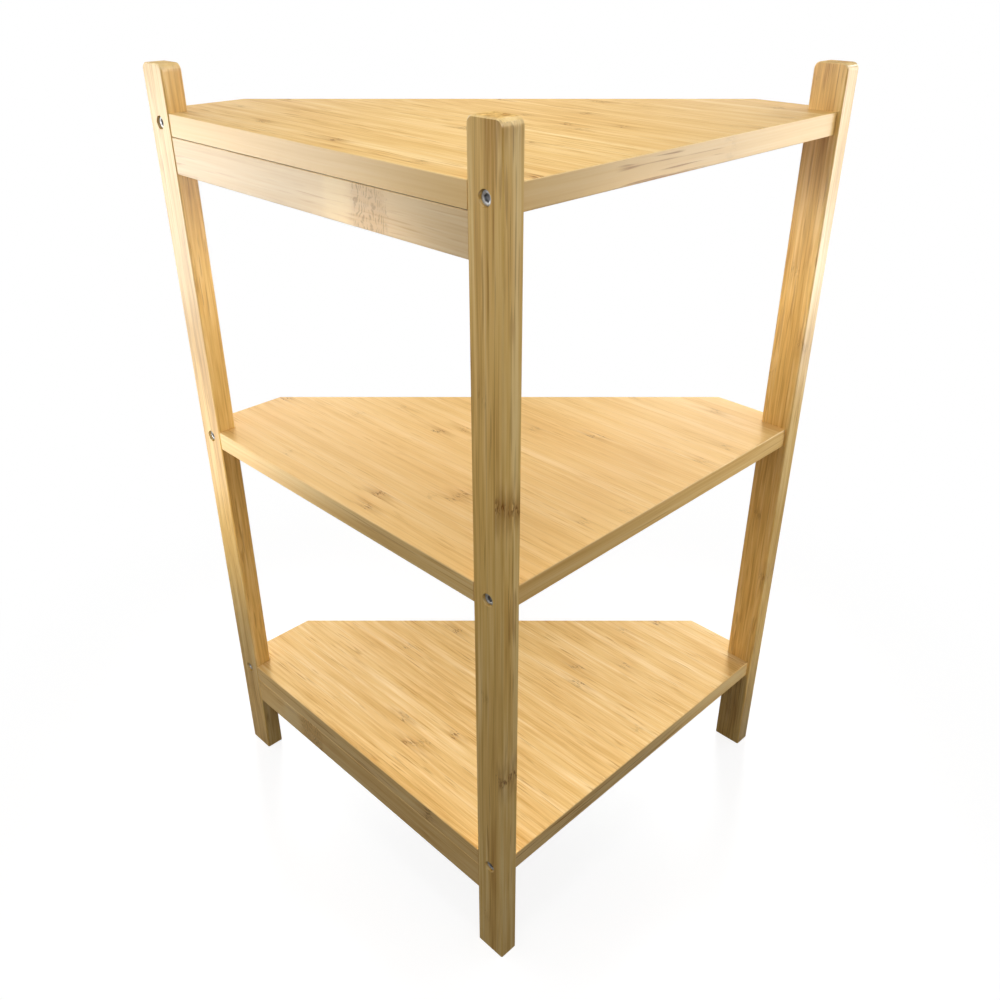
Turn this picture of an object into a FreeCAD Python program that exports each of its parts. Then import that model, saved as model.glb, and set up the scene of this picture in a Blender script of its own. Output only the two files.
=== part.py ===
"""Three-post corner shelf in laminated bamboo, made as separate pieces in one frame.

The unit stands in a room's corner. X runs along the wall behind the two rails, +Y points at that wall, the
other wall is on the -X side, and +Z is up. The origin is on the floor, at the middle of the unit's box.
Everything is in millimetres.
"""

import FreeCAD
import Part
import Sketcher

import os

# Driving sizes: alias, value and what it measures.
SIZES = (
    ("unit_height", 600.0, "floor to the tops of the posts"),
    ("frame_width", 340.0, "corner post's outer side to rail post's outer side"),
    ("frame_depth", 336.0, "corner post's face at the rails' wall to side post's outer face"),
    ("post_width", 25.0, "post across its broad face, along the rails"),
    ("post_depth", 15.0, "post through its thickness"),
    ("post_top_radius", 4.5, "rounded corners at the top of a post's broad face"),
    ("post_edge_bevel", 0.8, "bevel on the edges of a post's broad faces"),
    ("post_rise", 30.0, "posts above the top shelf"),
    ("shelf_thickness", 15.0, "shelf panel"),
    ("shelf_short_edge", 73.5, "edge left on each side of the cut-off corner"),
    ("shelf_edge_radius", 0.8, "eased edges of a shelf"),
    ("shelf_corner_radius", 1.5, "eased corners at the ends of the cut"),
    ("shelf_pitch", 236.0, "one shelf to the next"),
    ("wall_inset", 0.5, "shelf edge behind the posts' faces at the rails' wall"),
    ("side_inset", 3.0, "shelf edge behind the posts' faces at the other wall"),
    ("end_overhang", 1.5, "shelf's short edge beyond the side post's outer face"),
    ("notch_clearance", 0.3, "side play of a post in its notch"),
    ("rail_height", 24.5, "rail from edge to edge"),
    ("rail_depth", 14.0, "rail through its thickness"),
    ("rail_edge_radius", 0.8, "eased long edges of a rail"),
    ("screw_drop", 7.0, "screw axis below the shelf's top face"),
    ("screw_length", 40.0, "screw from head to tip"),
    ("screw_head_diameter", 8.2, "screw head"),
    ("screw_head_height", 3.0, "screw head"),
    ("screw_head_recess", 1.6, "head's face below the post's face"),
    ("screw_shank_diameter", 6.2, "shank over the thread's crests"),
    ("socket_across_flats", 4.0, "hexagon socket"),
    ("socket_depth", 2.2, "hexagon socket"),
    ("counterbore_clearance", 0.35, "gap round a screw head"),
    ("screw_hole_clearance", 0.1, "gap round a screw's shank"),
    ("screw_hole_spare", 1.0, "blind hole beyond the screw's tip"),
    ("dowel_diameter", 6.0, "dowel"),
    ("dowel_length", 30.0, "dowel, half of it in the rail"),
    ("dowel_spacing", 12.0, "between the two dowels of a rail's end"),
    ("dowel_clearance", 0.05, "gap round a dowel"),
    ("dowel_hole_spare", 0.5, "blind hole beyond a dowel's end"),
)

# Places in plan, as expressions of the driving sizes.
HALF_WIDTH = "Sizes.frame_width / 2"
HALF_DEPTH = "(Sizes.frame_depth + Sizes.end_overhang) / 2"
POST_X = f"({HALF_WIDTH} - Sizes.post_width / 2)"
WALL_POST_Y = f"({HALF_DEPTH} - Sizes.post_depth / 2)"
SIDE_POST_Y = f"(Sizes.end_overhang + Sizes.post_depth / 2 - {HALF_DEPTH})"
RAIL_LENGTH = "(Sizes.frame_width - 2 * Sizes.post_width)"

# The planes where the shelves bear on the posts' inner faces.
WALL_SEAT_Y = f"({HALF_DEPTH} - Sizes.post_depth)"
SIDE_SEAT_Y = f"(Sizes.end_overhang + Sizes.post_depth - {HALF_DEPTH})"

# Heights of the shelves' top faces, and of the rails' middles below the shelves that rest on them.
SHELF_TOPS = {
    "top": "(Sizes.unit_height - Sizes.post_rise)",
    "middle": "(Sizes.unit_height - Sizes.post_rise - Sizes.shelf_pitch)",
    "bottom": "(Sizes.unit_height - Sizes.post_rise - 2 * Sizes.shelf_pitch)",
}
RAILED = ("top", "bottom")
RAIL_MIDDLES = {
    level: f"({SHELF_TOPS[level]} - Sizes.shelf_thickness - Sizes.rail_height / 2)" for level in RAILED
}

# Sizes of holes, from what goes into them.
COUNTERBORE_DIAMETER = "(Sizes.screw_head_diameter + 2 * Sizes.counterbore_clearance)"
COUNTERBORE_DEPTH = "(Sizes.screw_head_recess + Sizes.screw_head_height)"
SCREW_HOLE_DIAMETER = "(Sizes.screw_shank_diameter + 2 * Sizes.screw_hole_clearance)"
SCREW_REACH = "(Sizes.screw_length + Sizes.screw_head_recess - Sizes.post_depth)"
SCREW_HOLE_DEPTH = f"({SCREW_REACH} + Sizes.screw_hole_spare)"
DOWEL_HOLE_DIAMETER = "(Sizes.dowel_diameter + 2 * Sizes.dowel_clearance)"
DOWEL_HOLE_DEPTH = "(Sizes.dowel_length / 2 + Sizes.dowel_hole_spare)"
DOWEL_SIDES = {"upper": "Sizes.dowel_spacing / 2", "lower": "-Sizes.dowel_spacing / 2"}

TOUCH = 1e-4

doc = FreeCAD.newDocument("corner_shelf")


def make_sheet():
    """The spreadsheet of driving sizes: name, value and meaning in each row."""
    sheet = doc.addObject("Spreadsheet::Sheet", "Sizes")
    for row, (alias, value, meaning) in enumerate(SIZES, start=1):
        sheet.set(f"A{row}", alias)
        sheet.set(f"B{row}", str(value))
        sheet.setAlias(f"B{row}", alias)
        sheet.set(f"C{row}", meaning)
    doc.recompute()
    return sheet


sheet = make_sheet()


def value_of(expression):
    """The number that an expression of the driving sizes gives now."""
    return float(sheet.evalExpression(expression))


def new_body(label):
    """A body of its own for one piece."""
    body = doc.addObject("PartDesign::Body", label)
    body.Label = label
    return body


def place(body, x, y, z):
    """Binds a body's position to three expressions."""
    for axis, expression in zip("xyz", (x, y, z)):
        body.setExpression(f".Placement.Base.{axis}", expression)


def new_sketch(body, name, plane, offset="0"):
    """A sketch on one of the body's own origin planes, moved along that plane's normal by an expression."""
    support = next(item for item in body.Origin.OriginFeatures if item.Role == plane)
    sketch = body.newObject("Sketcher::SketchObject", name)
    sketch.AttachmentSupport = (support, [""])
    sketch.MapMode = "FlatFace"
    sketch.setExpression(".AttachmentOffset.Base.z", offset)
    return sketch


def pin_point(sketch, geometry, point, across, up):
    """Fixes a sketch point at two expressions, measured from the sketch's origin."""
    for kind, axis, expression in (("DistanceX", -2, across), ("DistanceY", -1, up)):
        if expression == "0":
            sketch.addConstraint(Sketcher.Constraint("PointOnObject", geometry, point, axis))
            continue
        distance = Sketcher.Constraint(kind, -1, 1, geometry, point, value_of(expression))
        index = sketch.addConstraint(distance)
        sketch.setExpression(f"Constraints[{index}]", expression)


def draw_outline(sketch, corners):
    """A closed outline of straight lines through corners, each a pair of expressions."""
    points = [FreeCAD.Vector(value_of(across), value_of(up), 0) for across, up in corners]
    lines = [
        sketch.addGeometry(Part.LineSegment(start, end), False)
        for start, end in zip(points, points[1:] + points[:1])
    ]
    for line, following in zip(lines, lines[1:] + lines[:1]):
        sketch.addConstraint(Sketcher.Constraint("Coincident", line, 2, following, 1))
    for line, (across, up) in zip(lines, corners):
        pin_point(sketch, line, 1, across, up)


def draw_circles(sketch, centres, diameter):
    """Circles of one diameter at centres, each a pair of expressions."""
    for across, up in centres:
        centre = FreeCAD.Vector(value_of(across), value_of(up), 0)
        circle = Part.Circle(centre, FreeCAD.Vector(0, 0, 1), value_of(diameter) / 2)
        geometry = sketch.addGeometry(circle, False)
        pin_point(sketch, geometry, 3, across, up)
        index = sketch.addConstraint(Sketcher.Constraint("Diameter", geometry, value_of(diameter)))
        sketch.setExpression(f"Constraints[{index}]", diameter)


def pad(body, name, sketch, length, both_ways=False):
    """Extrudes a sketch along its normal, or by half to each side."""
    feature = body.newObject("PartDesign::Pad", name)
    feature.Profile = sketch
    feature.setExpression("Length", length)
    feature.Midplane = both_ways
    doc.recompute()
    return feature


def pocket(body, name, sketch, depth, along_normal):
    """Cuts a sketch to a depth along its normal or against it, and makes sure that it met the solid."""
    before = body.Shape.Volume
    feature = body.newObject("PartDesign::Pocket", name)
    feature.Profile = sketch
    feature.setExpression("Length", depth)
    feature.Reversed = along_normal
    doc.recompute()
    if not body.Shape.Volume < before - TOUCH:
        raise RuntimeError(f"{name} cut nothing from {body.Label}")
    return feature


def ease(body, kind, name, base, size, chosen):
    """Adds an edge feature on the edges of the base feature that the test chooses, with a name and size."""
    doc.recompute()
    edges = [f"Edge{i}" for i, edge in enumerate(base.Shape.Edges, start=1) if chosen(edge)]
    feature = body.newObject(f"PartDesign::{kind}", name)
    feature.Base = (base, edges)
    feature.setExpression("Radius" if kind == "Fillet" else "Size", size)
    doc.recompute()
    return feature


def fillet(body, name, base, radius, chosen):
    """Rounds the chosen edges."""
    return ease(body, "Fillet", name, base, radius, chosen)


def bevel(body, name, base, size, chosen):
    """Cuts the chosen edges off at an even slope."""
    return ease(body, "Chamfer", name, base, size, chosen)


def runs_along(edge, axis):
    """Whether an edge is straight and parallel to a named axis."""
    if not isinstance(edge.Curve, Part.Line):
        return False
    direction = edge.Curve.Direction
    return abs(abs(getattr(direction, axis)) - 1) < TOUCH


def lies_at(edge, axis, places):
    """Whether a whole edge lies in one of the planes at right angles to an axis."""
    low = getattr(edge.BoundBox, f"{axis.upper()}Min")
    high = getattr(edge.BoundBox, f"{axis.upper()}Max")
    return any(abs(low - place) < TOUCH and abs(high - place) < TOUCH for place in places)


def make_post(label, x, y, screw_face, dowel_side):
    """One upright: rounded top, bevelled edges, counterbored screw holes and blind dowel holes.

    screw_face is +1 where the screws enter from the +Y face and -1 where they enter from the -Y face.
    dowel_side is the X side that the rails butt against, or 0 on the post that has none.
    """
    body = new_body(label)
    blank = new_sketch(body, f"{label}_section", "XY_Plane")
    across, deep = "Sizes.post_width / 2", "Sizes.post_depth / 2"
    draw_outline(blank, [(f"-{across}", f"-{deep}"), (across, f"-{deep}"), (across, deep), (f"-{across}", deep)])
    stock = pad(body, f"{label}_stock", blank, "Sizes.unit_height")

    top = value_of("Sizes.unit_height")
    rounded = fillet(
        body, f"{label}_top", stock, "Sizes.post_top_radius",
        lambda edge: runs_along(edge, "y") and lies_at(edge, "z", [top]),
    )
    half_depth = value_of(deep)
    bevel(
        body, f"{label}_edges", rounded, "Sizes.post_edge_bevel",
        lambda edge: lies_at(edge, "y", [half_depth, -half_depth]) and not lies_at(edge, "z", [0]),
    )

    # The XZ plane's normal is -Y, so a face at +Y lies at a negative offset.
    drill_face = f"{-screw_face} * {deep}"
    heights = [f"{SHELF_TOPS[level]} - Sizes.screw_drop" for level in SHELF_TOPS]
    centres = [("0", height) for height in heights]
    mouths = new_sketch(body, f"{label}_mouths", "XZ_Plane", drill_face)
    draw_circles(mouths, centres, COUNTERBORE_DIAMETER)
    pocket(body, f"{label}_counterbores", mouths, COUNTERBORE_DEPTH, along_normal=screw_face > 0)
    drills = new_sketch(body, f"{label}_drills", "XZ_Plane", drill_face)
    draw_circles(drills, centres, SCREW_HOLE_DIAMETER)
    pocket(body, f"{label}_screw_holes", drills, "Sizes.post_depth", along_normal=screw_face > 0)

    if dowel_side:
        seats = new_sketch(body, f"{label}_dowel_seats", "YZ_Plane", f"{dowel_side} * {across}")
        spots = [("0", f"{RAIL_MIDDLES[level]} + {side}") for level in RAILED for side in DOWEL_SIDES.values()]
        draw_circles(seats, spots, DOWEL_HOLE_DIAMETER)
        pocket(body, f"{label}_dowel_holes", seats, DOWEL_HOLE_DEPTH, along_normal=dowel_side < 0)
    place(body, x, y, "0")
    return body


def make_shelf(level):
    """One shelf: a square panel with three corners notched round the posts and the front corner cut off."""
    label = f"{level}_shelf"
    body = new_body(label)
    side_edge = f"(Sizes.side_inset - {HALF_WIDTH})"
    back_edge = f"({HALF_DEPTH} - Sizes.wall_inset)"
    notch_left = f"(Sizes.post_width + Sizes.notch_clearance - {HALF_WIDTH})"
    notch_right = f"({HALF_WIDTH} - Sizes.post_width - Sizes.notch_clearance)"
    cut_right = f"{back_edge} - Sizes.shelf_short_edge"
    cut_front = f"{side_edge} + Sizes.shelf_short_edge"
    outline = new_sketch(body, f"{label}_outline", "XY_Plane")
    draw_outline(outline, [
        (notch_left, back_edge), (notch_left, WALL_SEAT_Y), (side_edge, WALL_SEAT_Y),
        (side_edge, SIDE_SEAT_Y), (notch_left, SIDE_SEAT_Y), (notch_left, f"-{HALF_DEPTH}"),
        (cut_front, f"-{HALF_DEPTH}"), (HALF_WIDTH, cut_right), (HALF_WIDTH, WALL_SEAT_Y),
        (notch_right, WALL_SEAT_Y), (notch_right, back_edge),
    ])
    panel = pad(body, f"{label}_panel", outline, "Sizes.shelf_thickness")

    cut_ends = [(cut_front, f"-{HALF_DEPTH}"), (HALF_WIDTH, cut_right)]
    cut_points = [FreeCAD.Vector(value_of(across), value_of(up), 0) for across, up in cut_ends]
    softened = fillet(
        body, f"{label}_corners", panel, "Sizes.shelf_corner_radius",
        lambda edge: runs_along(edge, "z") and any(
            edge.Vertexes[0].Point.distanceToPoint(FreeCAD.Vector(p.x, p.y, edge.Vertexes[0].Z)) < TOUCH
            for p in cut_points
        ),
    )
    faces = [0, value_of("Sizes.shelf_thickness")]
    notch_x = [value_of(notch_left), value_of(notch_right)]
    notch_y = [value_of(WALL_SEAT_Y), value_of(SIDE_SEAT_Y)]
    fillet(
        body, f"{label}_edges", softened, "Sizes.shelf_edge_radius",
        lambda edge: lies_at(edge, "z", faces)
        and not lies_at(edge, "x", notch_x)
        and not lies_at(edge, "y", notch_y),
    )

    height = "Sizes.shelf_thickness - Sizes.screw_drop"
    wall_pilots = new_sketch(body, f"{label}_wall_pilots", "XZ_Plane", f"-{WALL_SEAT_Y}")
    draw_circles(wall_pilots, [(f"-{POST_X}", height), (POST_X, height)], SCREW_HOLE_DIAMETER)
    pocket(body, f"{label}_wall_holes", wall_pilots, SCREW_HOLE_DEPTH, along_normal=True)
    side_pilot = new_sketch(body, f"{label}_side_pilot", "XZ_Plane", f"-{SIDE_SEAT_Y}")
    draw_circles(side_pilot, [(f"-{POST_X}", height)], SCREW_HOLE_DIAMETER)
    pocket(body, f"{label}_side_hole", side_pilot, SCREW_HOLE_DEPTH, along_normal=False)
    place(body, "0", "0", f"{SHELF_TOPS[level]} - Sizes.shelf_thickness")
    return body


def make_rail(level):
    """One rail between the corner post and the rail post, with dowel holes in both ends."""
    label = f"{level}_rail"
    body = new_body(label)
    deep, tall = "Sizes.rail_depth / 2", "Sizes.rail_height / 2"
    section = new_sketch(body, f"{label}_section", "YZ_Plane")
    draw_outline(section, [(f"-{deep}", f"-{tall}"), (deep, f"-{tall}"), (deep, tall), (f"-{deep}", tall)])
    stock = pad(body, f"{label}_stock", section, RAIL_LENGTH, both_ways=True)
    fillet(body, f"{label}_edges", stock, "Sizes.rail_edge_radius", lambda edge: runs_along(edge, "x"))
    spots = [("0", side) for side in DOWEL_SIDES.values()]
    for end, sign in (("left", -1), ("right", 1)):
        seats = new_sketch(body, f"{label}_{end}_seats", "YZ_Plane", f"{sign} * {RAIL_LENGTH} / 2")
        draw_circles(seats, spots, DOWEL_HOLE_DIAMETER)
        pocket(body, f"{label}_{end}_holes", seats, DOWEL_HOLE_DEPTH, along_normal=sign < 0)
    place(body, "0", WALL_POST_Y, RAIL_MIDDLES[level])
    return body


def make_screw(label, x, y, z, screw_face):
    """A hexagon-socket screw whose head's face is at its own origin, with its tip along its own -Z."""
    body = new_body(label)
    profile = new_sketch(body, f"{label}_profile", "XZ_Plane")
    head, shank = (f"Sizes.screw_{part}_diameter / 2" for part in ("head", "shank"))
    draw_outline(profile, [
        ("0", "0"), (head, "0"), (head, "-Sizes.screw_head_height"), (shank, "-Sizes.screw_head_height"),
        (shank, "-Sizes.screw_length"), ("0", "-Sizes.screw_length"),
    ])
    turned = body.newObject("PartDesign::Revolution", f"{label}_turned")
    turned.Profile = profile
    turned.ReferenceAxis = (profile, ["V_Axis"])
    turned.Angle = 360
    doc.recompute()

    flat, corner = "Sizes.socket_across_flats / 2", "Sizes.socket_across_flats / sqrt(3)"
    hexagon = new_sketch(body, f"{label}_hexagon", "XY_Plane")
    draw_outline(hexagon, [
        (corner, "0"), (f"{corner} / 2", flat), (f"-{corner} / 2", flat),
        (f"-{corner}", "0"), (f"-{corner} / 2", f"-{flat}"), (f"{corner} / 2", f"-{flat}"),
    ])
    pocket(body, f"{label}_socket", hexagon, "Sizes.socket_depth", along_normal=False)
    tilt = -90 * screw_face
    body.Placement = FreeCAD.Placement(FreeCAD.Vector(), FreeCAD.Rotation(FreeCAD.Vector(1, 0, 0), tilt))
    place(body, x, y, z)
    return body


def make_dowel(label, x, z):
    """A dowel across the joint of a rail and a post."""
    body = new_body(label)
    section = new_sketch(body, f"{label}_section", "YZ_Plane")
    draw_circles(section, [("0", "0")], "Sizes.dowel_diameter")
    pad(body, f"{label}_pin", section, "Sizes.dowel_length", both_ways=True)
    place(body, x, WALL_POST_Y, z)
    return body


def make_all():
    """Every piece of the unit, in the order in which it goes together."""
    pieces = [
        make_post("corner_post", f"-{POST_X}", WALL_POST_Y, screw_face=1, dowel_side=1),
        make_post("rail_post", POST_X, WALL_POST_Y, screw_face=1, dowel_side=-1),
        make_post("side_post", f"-{POST_X}", SIDE_POST_Y, screw_face=-1, dowel_side=0),
    ]
    for level in RAILED:
        pieces.append(make_rail(level))
        for end, sign in (("corner", "-"), ("rail", "")):
            for side, offset in DOWEL_SIDES.items():
                label = f"dowel_{level}_{end}_{side}"
                pieces.append(make_dowel(label, f"{sign}{RAIL_LENGTH} / 2", f"{RAIL_MIDDLES[level]} + {offset}"))
    wall_head_y = f"{HALF_DEPTH} - Sizes.screw_head_recess"
    side_head_y = f"Sizes.end_overhang + Sizes.screw_head_recess - {HALF_DEPTH}"
    screw_lines = {
        "corner": (f"-{POST_X}", wall_head_y, 1),
        "rail": (POST_X, wall_head_y, 1),
        "side": (f"-{POST_X}", side_head_y, -1),
    }
    for level in SHELF_TOPS:
        pieces.append(make_shelf(level))
        for post, (x, y, screw_face) in screw_lines.items():
            height = f"{SHELF_TOPS[level]} - Sizes.screw_drop"
            pieces.append(make_screw(f"screw_{post}_{level}", x, y, height, screw_face))
    doc.recompute()
    return pieces


def check(pieces):
    """Stops the build if anything in the document failed or a piece isn't one valid solid."""
    failed = [item.Name for item in doc.Objects if {"Invalid", "Error"} & set(item.State)]
    if failed:
        raise RuntimeError(f"failed to recompute: {failed}")
    for piece in pieces:
        shape = piece.Shape
        if shape.isNull() or not shape.isValid() or len(shape.Solids) != 1:
            raise RuntimeError(f"{piece.Label} is not one valid solid")


def export(pieces):
    """Writes each piece to a file of its own name."""
    os.makedirs("parts", exist_ok=True)
    for piece in pieces:
        piece.Shape.exportStep(f"parts/{piece.Label}.step")
        box = piece.Shape.BoundBox
        print(f"{piece.Label}: {box.XLength:.2f} x {box.YLength:.2f} x {box.ZLength:.2f} mm")


made = make_all()
check(made)
export(made)
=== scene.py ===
"""Looks of a corner shelf in laminated bamboo: posts, notched panels, rails, socket screws and dowels.

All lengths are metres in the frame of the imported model. X runs along the rails, away from the corner post, Y
runs from the open front to the outer side of the rails, and Z is up from the floor that the posts stand on.
"""

import logging
import math
from collections.abc import Iterator, Sequence
from dataclasses import dataclass, replace
from enum import Enum
from typing import ClassVar

import bpy
import numpy as np
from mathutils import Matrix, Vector


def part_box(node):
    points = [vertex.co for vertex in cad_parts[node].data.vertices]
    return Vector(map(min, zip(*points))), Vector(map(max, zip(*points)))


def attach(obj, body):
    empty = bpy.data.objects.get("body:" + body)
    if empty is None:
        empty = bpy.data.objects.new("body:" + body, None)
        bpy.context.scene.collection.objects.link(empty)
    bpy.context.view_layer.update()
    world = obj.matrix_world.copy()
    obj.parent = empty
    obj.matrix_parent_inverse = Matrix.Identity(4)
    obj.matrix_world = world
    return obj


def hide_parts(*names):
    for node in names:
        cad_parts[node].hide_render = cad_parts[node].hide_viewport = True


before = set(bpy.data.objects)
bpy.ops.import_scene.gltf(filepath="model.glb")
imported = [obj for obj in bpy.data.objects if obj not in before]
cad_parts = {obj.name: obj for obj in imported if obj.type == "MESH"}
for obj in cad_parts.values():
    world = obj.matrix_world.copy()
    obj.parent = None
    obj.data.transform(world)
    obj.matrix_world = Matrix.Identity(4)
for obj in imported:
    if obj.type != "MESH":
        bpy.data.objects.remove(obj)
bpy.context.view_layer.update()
BODY = "root"
MM = 0.001
log = logging.getLogger("corner_shelf")

Colour = tuple[float, float, float, float]
Point = tuple[float, float, float]
Step = tuple[float, float]
Outputs = bpy.types.NodeOutputs
Feed = bpy.types.NodeSocket | float | Sequence[float]


def paint(red: int, green: int, blue: int) -> Colour:
    """Gives the linear colour of a swatch written in display values.

    Args:
        red: Red from 0 to 255.
        green: Green from 0 to 255.
        blue: Blue from 0 to 255.

    Returns:
        The linear red, green and blue, with an alpha of 1.
    """
    display = np.array([red, green, blue]) / 255.0
    linear = np.where(display <= 0.04045, display / 12.92, ((display + 0.055) / 1.055) ** 2.4)
    return (*linear.tolist(), 1.0)


def grey(level: float) -> Colour:
    """Gives a grey of a linear level."""
    return (level, level, level, 1.0)


class Axis(Enum):
    """A direction of the model's frame, with its place in a point."""

    X = 0
    Y = 1
    Z = 2


@dataclass(frozen=True)
class Cloud:
    """Noise with one rate along the grain and one across it, in waves per metre.

    Where it is used as patches, they are 0 below the empty level and 1 above the full one.
    """

    along: float
    across: float
    detail: float = 1.0
    distortion: float = 0.0
    empty: float = 0.0
    full: float = 1.0


class NodeSheet:
    """Short calls for the nodes that finishes and shared groups are drawn with.

    The Mix node's sockets are given by its type of data: the first and second inputs, and the output.
    """

    MIX_SOCKETS: ClassVar[dict[str, tuple[int, int, int]]] = {"RGBA": (6, 7, 2), "FLOAT": (2, 3, 0)}

    def __init__(self, tree: bpy.types.NodeTree) -> None:
        """Keeps the tree that the nodes go into."""
        self.tree = tree

    @classmethod
    def blank(cls, owner: bpy.types.Material | bpy.types.World) -> "NodeSheet":
        """Opens the node tree of a new material or world, with nothing in it.

        Args:
            owner: The material or world.

        Returns:
            Its sheet.
        """
        owner.use_nodes = True
        owner.node_tree.nodes.clear()
        return cls(owner.node_tree)

    def feed(self, socket: bpy.types.NodeSocket, value: Feed) -> None:
        """Links an output to a socket, or writes a constant on it.

        Args:
            socket: The input to fill.
            value: Another node's output, or a plain value.
        """
        if isinstance(value, bpy.types.NodeSocket):
            self.tree.links.new(value, socket)
        else:
            socket.default_value = value

    def node(self, kind: str, *values: Feed, **options: object) -> bpy.types.Node:
        """Adds a node.

        Args:
            kind: Blender's name of the node's type.
            *values: What its first inputs get, in order.
            **options: Properties to set on the node.

        Returns:
            The new node.
        """
        made = self.tree.nodes.new(kind)
        for name, value in options.items():
            setattr(made, name, value)
        for socket, value in zip(made.inputs, values):
            self.feed(socket, value)
        return made

    def fill(self, made: bpy.types.Node, **values: Feed) -> bpy.types.Node:
        """Fills a node's inputs by their names.

        Args:
            made: The node.
            **values: Its inputs by name, with _ for a space.

        Returns:
            The same node.
        """
        for name, value in values.items():
            self.feed(made.inputs[name.replace("_", " ")], value)
        return made

    def group(self, tree: bpy.types.NodeTree, **values: Feed) -> Outputs:
        """Places a shared group with some of its inputs filled, and gives its outputs."""
        return self.fill(self.node("ShaderNodeGroup", node_tree=tree), **values).outputs

    def math(self, operation: str, *values: Feed) -> bpy.types.NodeSocket:
        """Works out a number with an operation of the Math node."""
        return self.node("ShaderNodeMath", *values, operation=operation).outputs[0]

    def rest(self, share: Feed) -> bpy.types.NodeSocket:
        """Gives what a share leaves of 1."""
        return self.math("SUBTRACT", 1.0, share)

    def vector(self, operation: str, *values: Feed) -> bpy.types.Node:
        """Adds a Vector Math node with an operation."""
        return self.node("ShaderNodeVectorMath", *values, operation=operation)

    def point(self, x: Feed, y: Feed, z: Feed) -> bpy.types.NodeSocket:
        """Puts three numbers together as a point."""
        return self.node("ShaderNodeCombineXYZ", x, y, z).outputs[0]

    def parts(self, point: Feed) -> Outputs:
        """Takes a point apart into its three numbers."""
        return self.node("ShaderNodeSeparateXYZ", point).outputs

    def ease(self, value: Feed, empty: float, full: float) -> bpy.types.NodeSocket:
        """Gives a smooth step, which may fall as well as rise.

        Args:
            value: The number to step on.
            empty: Where the step is 0.
            full: Where the step is 1.

        Returns:
            The step's socket, from 0 to 1.
        """
        made = self.node("ShaderNodeMapRange", interpolation_type="SMOOTHSTEP")
        return self.fill(made, Value=value, From_Min=empty, From_Max=full).outputs["Result"]

    def noise(self, point: Feed, cloud: Cloud) -> bpy.types.NodeSocket:
        """Gives cloudy noise.

        Args:
            point: Where to read it, in metres, the way along the grain first.
            cloud: Its rates and detail.

        Returns:
            The noise's socket, from 0 to 1 about a mean of a half.
        """
        scaled = self.vector("MULTIPLY", point, (cloud.along, cloud.across, cloud.across)).outputs[0]
        made = self.node("ShaderNodeTexNoise", noise_dimensions="3D")
        self.fill(made, Vector=scaled, Scale=1.0, Detail=cloud.detail, Distortion=cloud.distortion)
        return made.outputs["Fac"]

    def wobble(self, point: Feed, cloud: Cloud) -> bpy.types.NodeSocket:
        """Gives noise about a mean of 0."""
        return self.centred(self.noise(point, cloud))

    def patches(self, point: Feed, cloud: Cloud) -> bpy.types.NodeSocket:
        """Gives noise as patches, from 0 to 1."""
        return self.ease(self.noise(point, cloud), cloud.empty, cloud.full)

    def centred(self, value: Feed) -> bpy.types.NodeSocket:
        """Takes a half off a number from 0 to 1."""
        return self.math("SUBTRACT", value, 0.5)

    def mix(self, share: Feed, first: Feed, second: Feed) -> bpy.types.NodeSocket:
        """Blends two colours, with the share of the second."""
        return self._mixed("RGBA", share, first, second)

    def choose(self, share: Feed, first: Feed, second: Feed) -> bpy.types.NodeSocket:
        """Blends two numbers, with the share of the second."""
        return self._mixed("FLOAT", share, first, second)

    def _mixed(self, kind: str, share: Feed, first: Feed, second: Feed) -> bpy.types.NodeSocket:
        """Adds a Mix node.

        Args:
            kind: Its type of data.
            share: The share of the second.
            first: What shows at a share of 0.
            second: What shows at a share of 1.

        Returns:
            The blend's socket.
        """
        first_place, second_place, result = self.MIX_SOCKETS[kind]
        made = self.node("ShaderNodeMix", share, data_type=kind)
        self.feed(made.inputs[first_place], first)
        self.feed(made.inputs[second_place], second)
        return made.outputs[result]

    def bump(self, height: Feed, strength: float, depth: float) -> bpy.types.NodeSocket:
        """Gives the normal of a surface that is raised by a height, in shares of the depth."""
        made = self.node("ShaderNodeBump")
        return self.fill(made, Strength=strength, Distance=depth, Height=height).outputs[0]

    def blend(self, share: Feed, first: bpy.types.Node, second: bpy.types.Node) -> bpy.types.Node:
        """Blends two shaders, with the share of the second."""
        return self.node("ShaderNodeMixShader", share, first.outputs[0], second.outputs[0])

    def surface(self, shader: bpy.types.Node, output: str = "ShaderNodeOutputMaterial") -> None:
        """Makes a shader the surface of the material, or of the world with its own kind of output."""
        self.fill(self.node(output), Surface=shader.outputs[0])


@dataclass
class GroupDraft:
    """A shader node group while it is drawn."""

    tree: bpy.types.NodeTree
    sheet: NodeSheet
    given: Outputs
    wanted: bpy.types.NodeInputs

    @classmethod
    def start(cls, name: str, inputs: dict[str, float], outputs: Sequence[str]) -> "GroupDraft":
        """Opens a group with number sockets.

        Args:
            name: The group's name.
            inputs: Input names with their usual values.
            outputs: Output names.

        Returns:
            The draft, ready for nodes.
        """
        tree = bpy.data.node_groups.new(name, "ShaderNodeTree")
        for label, value in inputs.items():
            socket = tree.interface.new_socket(label, in_out="INPUT", socket_type="NodeSocketFloat")
            socket.default_value = value
        for label in outputs:
            tree.interface.new_socket(label, in_out="OUTPUT", socket_type="NodeSocketFloat")
        sheet = NodeSheet(tree)
        given = sheet.node("NodeGroupInput").outputs
        wanted = sheet.node("NodeGroupOutput").inputs
        return cls(tree, sheet, given, wanted)

    def place(self) -> bpy.types.NodeSocket:
        """Gives the point along the grain, across it and through the layers that the group is read at."""
        return self.sheet.point(self.given["Along"], self.given["Across"], self.given["Layer"])

    def put(self, **results: Feed) -> bpy.types.NodeTree:
        """Links the results to the group's outputs.

        Args:
            **results: What each output gives, by its name.

        Returns:
            The finished tree.
        """
        for name, value in results.items():
            self.sheet.feed(self.wanted[name], value)
        return self.tree


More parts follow.
